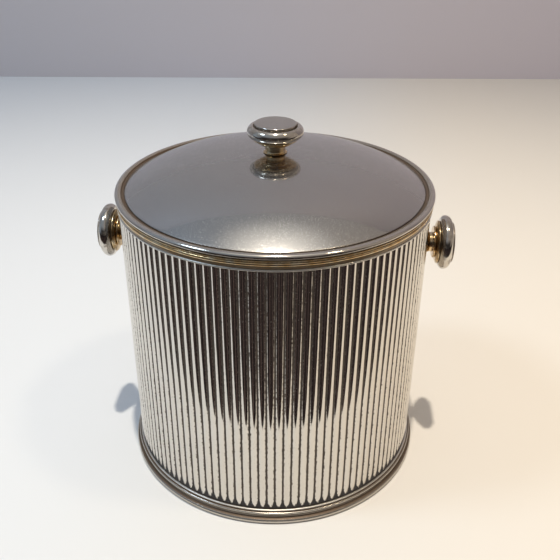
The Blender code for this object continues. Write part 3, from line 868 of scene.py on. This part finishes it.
class BUCKET_OT_collar(bpy.types.Operator):
    """Build the brass collar round the mouth"""

    bl_idname = "bucket.collar"
    bl_label = "Collar"

    def execute(self, context):
        top = span("top_collar")[2]

        def grimy(finish, reach, rise, grime_and_shade_noise):
            ragged = finish.math("MULTIPLY_ADD", grime_and_shade_noise, 0.5, rise)
            band = finish.step(ragged, top - 3.0, top - 3.4)
            groove = finish.math("MULTIPLY", finish.step(ragged, top - 1.5, top - 1.3),
                                 finish.step(ragged, top - 0.75, top - 0.9))
            return finish.math("MULTIPLY", finish.math("MAXIMUM", band, groove), 0.82)

        finish = worn_brass("collar_brass", dull=0.2, grimy=grimy)
        show("brass_collar", lathe(collar_outline()), finish, "bucket", "worn_brass", "top_collar")
        return {"FINISHED"}


class BUCKET_OT_liner(bpy.types.Operator):
    """Build the drawn steel liner and the gasket that it sits on"""

    bl_idname = "bucket.liner"
    bl_label = "Liner"

    def execute(self, context):
        outer, bottom, top = span("inner_liner")
        inside, sheet, corner, bend, edge = 83.0, 1.1, 7.5, 1.2, 0.5
        floor = bottom + sheet
        outline = [(0.0, floor)] + arc((inside - corner, floor + corner), (corner, corner), -90, 0, 14)
        outline += [(inside, top - bend)]
        outline += arc((inside + bend, top - bend), (bend, bend), 180, 90, 6)
        outline += arc((outer - edge, top - edge), (edge, edge), 90, -90, 8)
        outline += [(inside + sheet, top - 2 * edge)]
        outer_corner = arc((inside - corner, floor + corner), (corner + sheet, corner + sheet), 0, -90, 14)
        outline += outer_corner + [(0.0, bottom)]
        steel = drawn_steel()
        show("ice_liner", lathe(outline, closed=False), steel, "bucket", "liner_steel", "inner_liner")
        outer, bottom, top = span("liner_gasket")
        inner = outer - 4.9
        gasket = lathe([(inner, top), (outer, top), (outer, bottom), (inner, bottom)], easing=0.3)
        show("collar_gasket", gasket, seal_rubber(), "bucket", "seal_rubber", "liner_gasket")
        return {"FINISHED"}


# ---------------------------------------------------------------- lid

def dome_outline():
    """The dome sheet: a low cap with a fuller shoulder, bored for the knob's stud."""
    outer, edge, apex = span("lid_dome")
    shoulder, sheet, lean, edge_height = 0.32, 0.9, 0.45, 0.85
    rise = apex - edge - edge_height
    steps = 60

    def height(radius):
        out = radius / outer
        return apex - rise * ((1 - shoulder) * out ** 2 + shoulder * out ** 4)

    radii = [STUD_BORE + (outer - STUD_BORE) * step / steps for step in range(steps + 1)]
    above = [(radius, height(radius)) for radius in radii]
    below = [(radius - lean * radius / outer, height(radius) - sheet) for radius in reversed(radii)]
    return above + below


def rim_outline():
    """The rim: a fat outer bead, a fine groove where the dome meets it, and the ledge inside."""
    outer, bottom, top = span("lid_rim")
    bead, half = 2.15, (top - bottom) / 2
    ledge, ledge_top = outer - 10.0, bottom + 1.0
    seat, seat_top = outer - 5.8, bottom + 1.9
    outline = arc((outer - bead, bottom + half), (bead, half), 168, -90, 34)
    outline += [(ledge, bottom), (ledge, ledge_top), (seat, ledge_top)]
    outline += [(seat, seat_top), (outer - 4.5, seat_top)]
    return outline


class BUCKET_OT_lid(bpy.types.Operator):
    """Build the lid's rim, dome, inner pan and seal"""

    bl_idname = "bucket.lid"
    bl_label = "Lid"

    def execute(self, context):
        outer, bottom, top = span("lid_rim")

        def recess(finish, reach, rise, grime_and_shade_noise):
            ragged = finish.math("MULTIPLY_ADD", grime_and_shade_noise, 0.9, reach)
            flank = finish.math("MULTIPLY", finish.step(ragged, outer - 1.7, outer - 2.5), 0.55)
            groove = finish.math("MAXIMUM", flank, finish.step(ragged, outer - 3.2, outer - 4.0))
            # The bead's underside is darkened and browned: a painted dark reflection of the unlit room in
            # front.
            under = finish.step(finish.math("MULTIPLY_ADD", grime_and_shade_noise, 0.5, rise), bottom + 1.5, bottom + 1.0)
            return finish.math("MAXIMUM", groove, finish.math("MULTIPLY", under, 0.85))

        finish = plated_metal("rim_silver", recess, roughness=0.09, warm=0.6, dulled=0.12)
        show("lid_bead_rim", lathe(rim_outline()), finish, "lid", "silver_plate", "lid_rim")
        show("lid_top", lathe(dome_outline(), easing=0.1), lid_silver(), "lid", "silver_plate", "lid_dome")
        outer, bottom, top = span("lid_liner")
        pan, sheet, corner, flange = 80.2, 0.8, 3.5, 0.6
        outline = [(0.0, bottom + sheet)]
        outline += arc((pan - corner, bottom + corner), (corner - sheet, corner - sheet), -90, 0, 8)
        outline += [(pan - sheet, top), (outer, top), (outer, top - flange), (pan, top - flange)]
        outline += arc((pan - corner, bottom + corner), (corner, corner), 0, -90, 10)
        outline.append((0.0, bottom))
        show("lid_pan", lathe(outline, closed=False), drawn_steel(), "lid", "liner_steel", "lid_liner")
        outer, bottom, top = span("lid_seal")
        inner, lips, lip_reach, lip_half = outer - 1.9, 3, 0.55, 0.5
        lip_pitch = (top - bottom - 1.6) / (lips - 1)
        outline = [(inner, top), (outer - 0.6, top)]
        for lip in range(lips):
            middle = top - 1.1 - lip * lip_pitch
            outline += arc((outer - lip_reach, middle), (lip_reach, lip_half), 75, -75, 8)
        outline += [(outer - 0.7, bottom), (inner, bottom)]
        ring = lathe(outline, easing=0.1)
        show("lid_seal_ring", ring, seal_rubber(), "seal", "seal_rubber", "lid_seal")
        return {"FINISHED"}


# ---------------------------------------------------------------- knobs

# Heights above the bead's underside
KNOB_TOP = 12.7
BUTTON_FLOOR = 10.1
HEAD_WIDEST = 7.3
HEAD_SEAM = 3.8
CONE_BOTTOM = 1.7
BEAD_TOP = 1.4

HEAD_ROUND = 4.0              # how far the head's rounding reaches in from its widest radius
KNOB_GAP = 0.3                # gap between two pieces of a knob


def knob_place(prefix):
    """Matrix from a knob's own frame, Z out of the sheet and zero under its neck, to the bucket."""
    low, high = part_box(prefix + "_neck")
    middle = (low + high) / 2
    if prefix == "lid_knob":
        return Matrix.Translation((0.0, 0.0, low.z))
    side = 1.0 if prefix == "right_knob" else -1.0
    root = low.x if side > 0 else high.x
    lean = Matrix.Rotation(side * math.pi / 2, 4, "Y")
    return Matrix.Translation((root, 0.0, middle.z)) @ lean


def knob_outlines(neck):
    """Outlines of a knob's pieces; heights start at the root of its neck, the bead sits at neck."""
    knobs = bpy.context.scene.bucket_knobs
    head, button = knobs.head_radius / MM, knobs.button_radius / MM
    bead, stem = knobs.bead_radius / MM, knobs.neck_radius / MM
    outlines = {}
    edge, edge_half = 0.6, 0.55
    outlines["button"] = [(0.0, KNOB_TOP), (button - 0.9, KNOB_TOP)]
    outlines["button"] += arc((button - edge, KNOB_TOP - edge_half), (edge, edge_half), 80, 0, 8)
    outlines["button"] += [(button, BUTTON_FLOOR), (0.0, BUTTON_FLOOR)]
    round_centre = (head - HEAD_ROUND, HEAD_WIDEST)
    well, well_floor = button + KNOB_GAP, BUTTON_FLOOR - KNOB_GAP
    crown = [(well, 10.6)] + arc((button + 1.05, 10.7), (0.65, 0.5), 160, 85, 6)
    crown += arc(round_centre, (HEAD_ROUND, 4.1), 70, 0, 16)
    crown += arc(round_centre, (HEAD_ROUND, HEAD_WIDEST - HEAD_SEAM), -8, -76, 14)
    crown += [(STUD_BORE, HEAD_SEAM), (STUD_BORE, well_floor), (well, well_floor)]
    outlines["head"] = crown
    cone_top = HEAD_SEAM - KNOB_GAP
    cone = [(STUD_BORE, cone_top), (head - 3.7, cone_top)]
    cone += arc((head - 5.0, 3.05), (1.5, 0.9), 20, -62, 9)
    cone += [(head - 5.4, 1.85), (head - 5.8, CONE_BOTTOM), (STUD_BORE, CONE_BOTTOM)]
    outlines["cone"] = cone
    bead_reach, bead_half = 0.8, BEAD_TOP / 2
    outlines["bead"] = [(STUD_BORE, BEAD_TOP)]
    outlines["bead"] += arc((bead - bead_reach, bead_half), (bead_reach, bead_half), 90, -60, 14)
    outlines["bead"] += [(bead - 1.8, 0.0), (STUD_BORE, 0.0)]
    outlines = {name: [(radius, height + neck) for radius, height in outline]
                for name, outline in outlines.items()}
    flare, flare_height, steps = 1.1, 2.0, 8
    foot = [(stem, neck - KNOB_GAP)]
    for step in range(steps, -1, -1):
        share = step / steps
        foot.append((stem + flare * (1.0 - share) ** 2.2, flare_height * share))
    outlines["neck"] = [(STUD_BORE, neck - KNOB_GAP)] + foot + [(STUD_BORE, 0.0)]
    return outlines


class BUCKET_OT_knobs(bpy.types.Operator):
    """Build the three mushroom knobs, each from a button, head, cone, bead and neck"""

    bl_idname = "bucket.knobs"
    bl_label = "Knobs"

    def execute(self, context):
        button = context.scene.bucket_knobs.button_radius / MM

        def cap_recess(finish, reach, rise, grime_and_shade_noise):
            return finish.step(finish.math("MULTIPLY_ADD", grime_and_shade_noise, 0.3, reach), button - 0.1, button + 0.05)

        def head_recess(finish, reach, rise, grime_and_shade_noise):
            seam = finish.step(finish.math("MULTIPLY_ADD", grime_and_shade_noise, 0.6, reach), button + 0.9, button + 0.4)
            worn = finish.math("MULTIPLY", finish.step(finish.noise(6.0, detail=4.0), 0.5, 0.66), 0.5)
            return finish.math("MAXIMUM", seam, worn)

        cap = plated_metal("knob_cap_silver", cap_recess, roughness=0.12, warm=0.3, dulled=0.3)
        crown = plated_metal("knob_head_silver", head_recess, roughness=0.09, warm=0.7, dulled=0.15)
        cone = worn_brass("knob_cone_brass", dull=0.7)
        bead = worn_brass("knob_bead_brass", dull=0.5)
        styles = {
            "button": (cap, "silver_plate"), "head": (crown, "silver_plate"),
            "cone": (cone, "worn_brass"), "bead": (bead, "worn_brass"), "neck": (bead, "worn_brass"),
        }
        shown_names = {"button": "cap", "head": "crown", "cone": "flare", "bead": "collar", "neck": "stem"}
        for prefix in ("right_knob", "left_knob", "lid_knob"):
            body = "lid" if prefix == "lid_knob" else "bucket"
            place = knob_place(prefix)
            low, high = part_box(prefix + "_neck")
            tall = high.z - low.z if prefix == "lid_knob" else high.x - low.x
            for part, outline in knob_outlines(tall / MM + KNOB_GAP).items():
                finish, slot = styles[part]
                mesh = lathe(outline, closed=part != "button", easing=0.12, turns=KNOB_TURNS, place=place)
                name = prefix + "_" + shown_names[part]
                show(name, mesh, finish, body, slot, prefix + "_" + part)
        return {"FINISHED"}


class BUCKET_OT_hidden_parts(bpy.types.Operator):
    """Give the foam, studs, washers and nuts inside the bucket their finishes"""

    bl_idname = "bucket.hidden_parts"
    bl_label = "Hidden Parts"

    def execute(self, context):
        foam = packing_foam()
        steel = bpy.data.materials.get("fastener_steel") or fastener_steel()
        for name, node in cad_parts.items():
            if name in ("insulation_jacket", "lid_insulation"):
                chosen = foam
            elif name.endswith(("_stud", "_washer", "_nut")):
                chosen = steel
            else:
                continue
            for place in node.material_slots:
                place.material = chosen
        return {"FINISHED"}


# ---------------------------------------------------------------- stage

def stage_sheet(name, corners, material, turn):
    """A flat sheet of the stage, turned with it."""
    mesh = bpy.data.meshes.new(name)
    mesh.from_pydata(corners, [], [range(len(corners))])
    mesh.transform(Matrix.Rotation(turn, 4, "Z"))
    mesh.materials.append(material)
    sheet = bpy.data.objects.new(name, mesh)
    bpy.context.scene.collection.objects.link(sheet)
    return sheet


def add_lamp(name, place, size, power, tint, turn):
    """A small round lamp overhead that points at the bucket."""
    data = bpy.data.lights.new(name, "AREA")
    data.shape = "DISK"
    data.size = size
    data.energy = power
    data.color = tint
    lamp = bpy.data.objects.new(name, data)
    bpy.context.scene.collection.objects.link(lamp)
    at = Matrix.Rotation(turn, 3, "Z") @ Vector(place)
    lamp.location = at
    lamp.rotation_euler = (Vector((0.0, 0.0, 0.1)) - at).to_track_quat("-Z", "Y").to_euler()
    return lamp


def add_spot(name, place, power, tint, turn):
    """A lamp overhead that shines straight down, brightest in the middle of its cone."""
    data = bpy.data.lights.new(name, "SPOT")
    data.energy = power
    data.color = tint
    data.spot_size = math.radians(60.0)
    data.spot_blend = 1.0
    data.shadow_soft_size = 0.03
    lamp = bpy.data.objects.new(name, data)
    bpy.context.scene.collection.objects.link(lamp)
    lamp.location = Matrix.Rotation(turn, 3, "Z") @ Vector(place)
    return lamp


def soft_room(stage):
    """A world with a bright patch straight above, a cool side, a warm side and a dark front."""
    world = bpy.data.worlds.new("soft_room")
    world.use_nodes = True
    nodes = Nodes(world.node_tree)
    across, along, up = nodes.axes(nodes.add("ShaderNodeTexCoord").outputs["Generated"])
    sides = nodes.mix(nodes.step(across, -1.0, 1.0), stage.room_left, stage.room_right)
    above = nodes.mix(nodes.step(up, 0.9, 1.0), sides, stage.ceiling)
    ahead = nodes.math("MULTIPLY", nodes.step(along, -0.2, -0.75), nodes.step(up, 0.62, 0.22))
    tone = nodes.mix(ahead, above, stage.room_front)
    nodes.feed(world.node_tree.nodes["Background"].inputs["Color"], tone)
    return world


class BUCKET_OT_stage(bpy.types.Operator):
    """Build the table, the backdrop, the lights and the camera"""

    bl_idname = "bucket.stage"
    bl_label = "Stage"

    def execute(self, context):
        stage = context.scene.bucket_stage
        turn = stage.turn
        wide, near, back, tall = 4.0, -4.0, 0.98, 2.2
        top = Finish("table_top", 0.0, 0.9)
        top.shader.inputs["Specular IOR Level"].default_value = 0.0
        # Cool to warm across the table: painted light, the tint of the bluish room light on the left and the
        # warm light on the right.
        across = top.step(top.axes(top.place)["X"], -0.22, 0.28)
        tone = top.mix(across, stage.table, stage.table_warm_lit)
        top.set(Base_Color=tone)
        stage_sheet("table", [(-wide, near, 0), (wide, near, 0), (wide, back, 0), (-wide, back, 0)],
                    top.material, turn)
        wall = Finish("backdrop", 0.0, 0.9)
        wall.shader.inputs["Specular IOR Level"].default_value = 0.0
        # Cool to warm across the backdrop: painted light, the tint of the bluish room light on the left and
        # the warm light on the right.
        along = wall.step(wall.axes(wall.place)["X"], -0.8, 0.8)
        wall.set(Base_Color=wall.mix(along, stage.wall, stage.wall_warm_lit))
        stage_sheet("backdrop", [(-wide, back, 0), (wide, back, 0), (wide, back, tall), (-wide, back, tall)],
                    wall.material, turn)
        self.dark_room(stage, wide)
        overhead, cool_side, warm_side = (0.015, -0.27, 2.55), (-1.6, -0.3, 2.4), (1.0, -0.3, 2.4)
        add_spot("main_lamp", overhead, stage.lamp_power, stage.lamp, turn)
        add_lamp("cool_lamp", cool_side, 0.6, stage.cool_power, stage.lamp_cool, turn)
        add_lamp("warm_lamp", warm_side, 0.25, stage.warm_power, stage.lamp_warm, turn)
        context.scene.world = soft_room(stage)
        context.scene.view_settings.view_transform = "Standard"
        self.camera(stage)
        return {"FINISHED"}

    def dark_room(self, stage, wide):
        """What polished metal sees past the table's front edge: an unlit room.

        It is a dark sheet that only reflections see, with a near edge that bends round the bucket.
        """
        far = -3.9
        front_edge = [(wide, 0.5), (0.9, -0.08), (0.36, -0.178), (0.13, -0.185),
                      (-0.13, -0.185), (-0.34, -0.172), (-0.9, 0.05), (-wide, 1.2)]
        dark = Finish("unlit_room", 0.0, 1.0)
        dark.shader.inputs["Specular IOR Level"].default_value = 0.0
        place = dark.axes(dark.place)
        bearing = dark.math("DIVIDE", place["X"], place["Y"])
        streaks = dark.add("ShaderNodeTexNoise", noise_dimensions="1D")
        dark.feed(streaks.inputs["W"], dark.math("MULTIPLY", bearing, 1.6))
        streaks.inputs["Detail"].default_value = 3.0
        share = dark.step(streaks.outputs["Fac"], 0.45, 0.66)
        dark.set(Base_Color=dark.mix(share, stage.dark, stage.dark_warm))
        corners = [(-wide, far), (wide, far)] + front_edge
        lift = 0.001
        corners = [(x, y, lift) for x, y in corners]
        card = stage_sheet("dark_room", corners, dark.material, stage.turn)
        card.visible_camera = False
        card.visible_diffuse = False
        card.visible_shadow = False
        card.visible_transmission = False

    def camera(self, stage):
        """A camera a little above the bucket, looking down on it."""
        data = bpy.data.cameras.new("camera")
        data.sensor_width = 36.0
        data.lens = stage.lens
        camera = bpy.data.objects.new("camera", data)
        bpy.context.scene.collection.objects.link(camera)
        heading, pitch, roll = math.radians(3.913), math.radians(60.09), math.radians(0.39)
        look = Matrix.Rotation(heading, 4, "Z") @ Matrix.Rotation(pitch, 4, "X")
        look = look @ Matrix.Rotation(roll, 4, "Z")
        eye = (0.03360, -0.44067, 0.37682)
        camera.matrix_world = Matrix.Translation(eye) @ look
        bpy.context.scene.camera = camera


# ---------------------------------------------------------------- add-on

class BUCKET_PT_panel(bpy.types.Panel):
    """Sidebar panel that lists the bucket's settings and its build steps"""

    bl_label = "Ice Bucket"
    bl_space_type = "VIEW_3D"
    bl_region_type = "UI"
    bl_category = "Ice Bucket"

    def draw(self, context):
        column = self.layout.column()
        for group in SETTINGS:
            settings = getattr(context.scene, group)
            for name in settings.bl_rna.properties.keys():
                if name not in ("name", "rna_type"):
                    column.prop(settings, name)
        for step in STEPS:
            column.operator(step.bl_idname)


SETTINGS = {
    "bucket_finishes": BucketFinishes,
    "bucket_ribs": BucketRibs,
    "bucket_knobs": BucketKnobs,
    "bucket_stage": BucketStage,
}
STEPS = (
    BUCKET_OT_stage,
    BUCKET_OT_fluted_wall,
    BUCKET_OT_wire_rings,
    BUCKET_OT_foot,
    BUCKET_OT_base,
    BUCKET_OT_collar,
    BUCKET_OT_liner,
    BUCKET_OT_lid,
    BUCKET_OT_knobs,
    BUCKET_OT_hidden_parts,
)


def register():
    """Register the settings, the build steps and the panel."""
    for name, group in SETTINGS.items():
        bpy.utils.register_class(group)
        setattr(bpy.types.Scene, name, bpy.props.PointerProperty(type=group))
    for step in STEPS:
        bpy.utils.register_class(step)
    bpy.utils.register_class(BUCKET_PT_panel)


def unregister():
    """Take everything out again."""
    bpy.utils.unregister_class(BUCKET_PT_panel)
    for step in reversed(STEPS):
        bpy.utils.unregister_class(step)
    for name, group in reversed(SETTINGS.items()):
        delattr(bpy.types.Scene, name)
        bpy.utils.unregister_class(group)


def main():
    register()
    for step in STEPS:
        family, action = step.bl_idname.split(".")
        getattr(getattr(bpy.ops, family), action)()


if __name__ == "__main__":
    main()
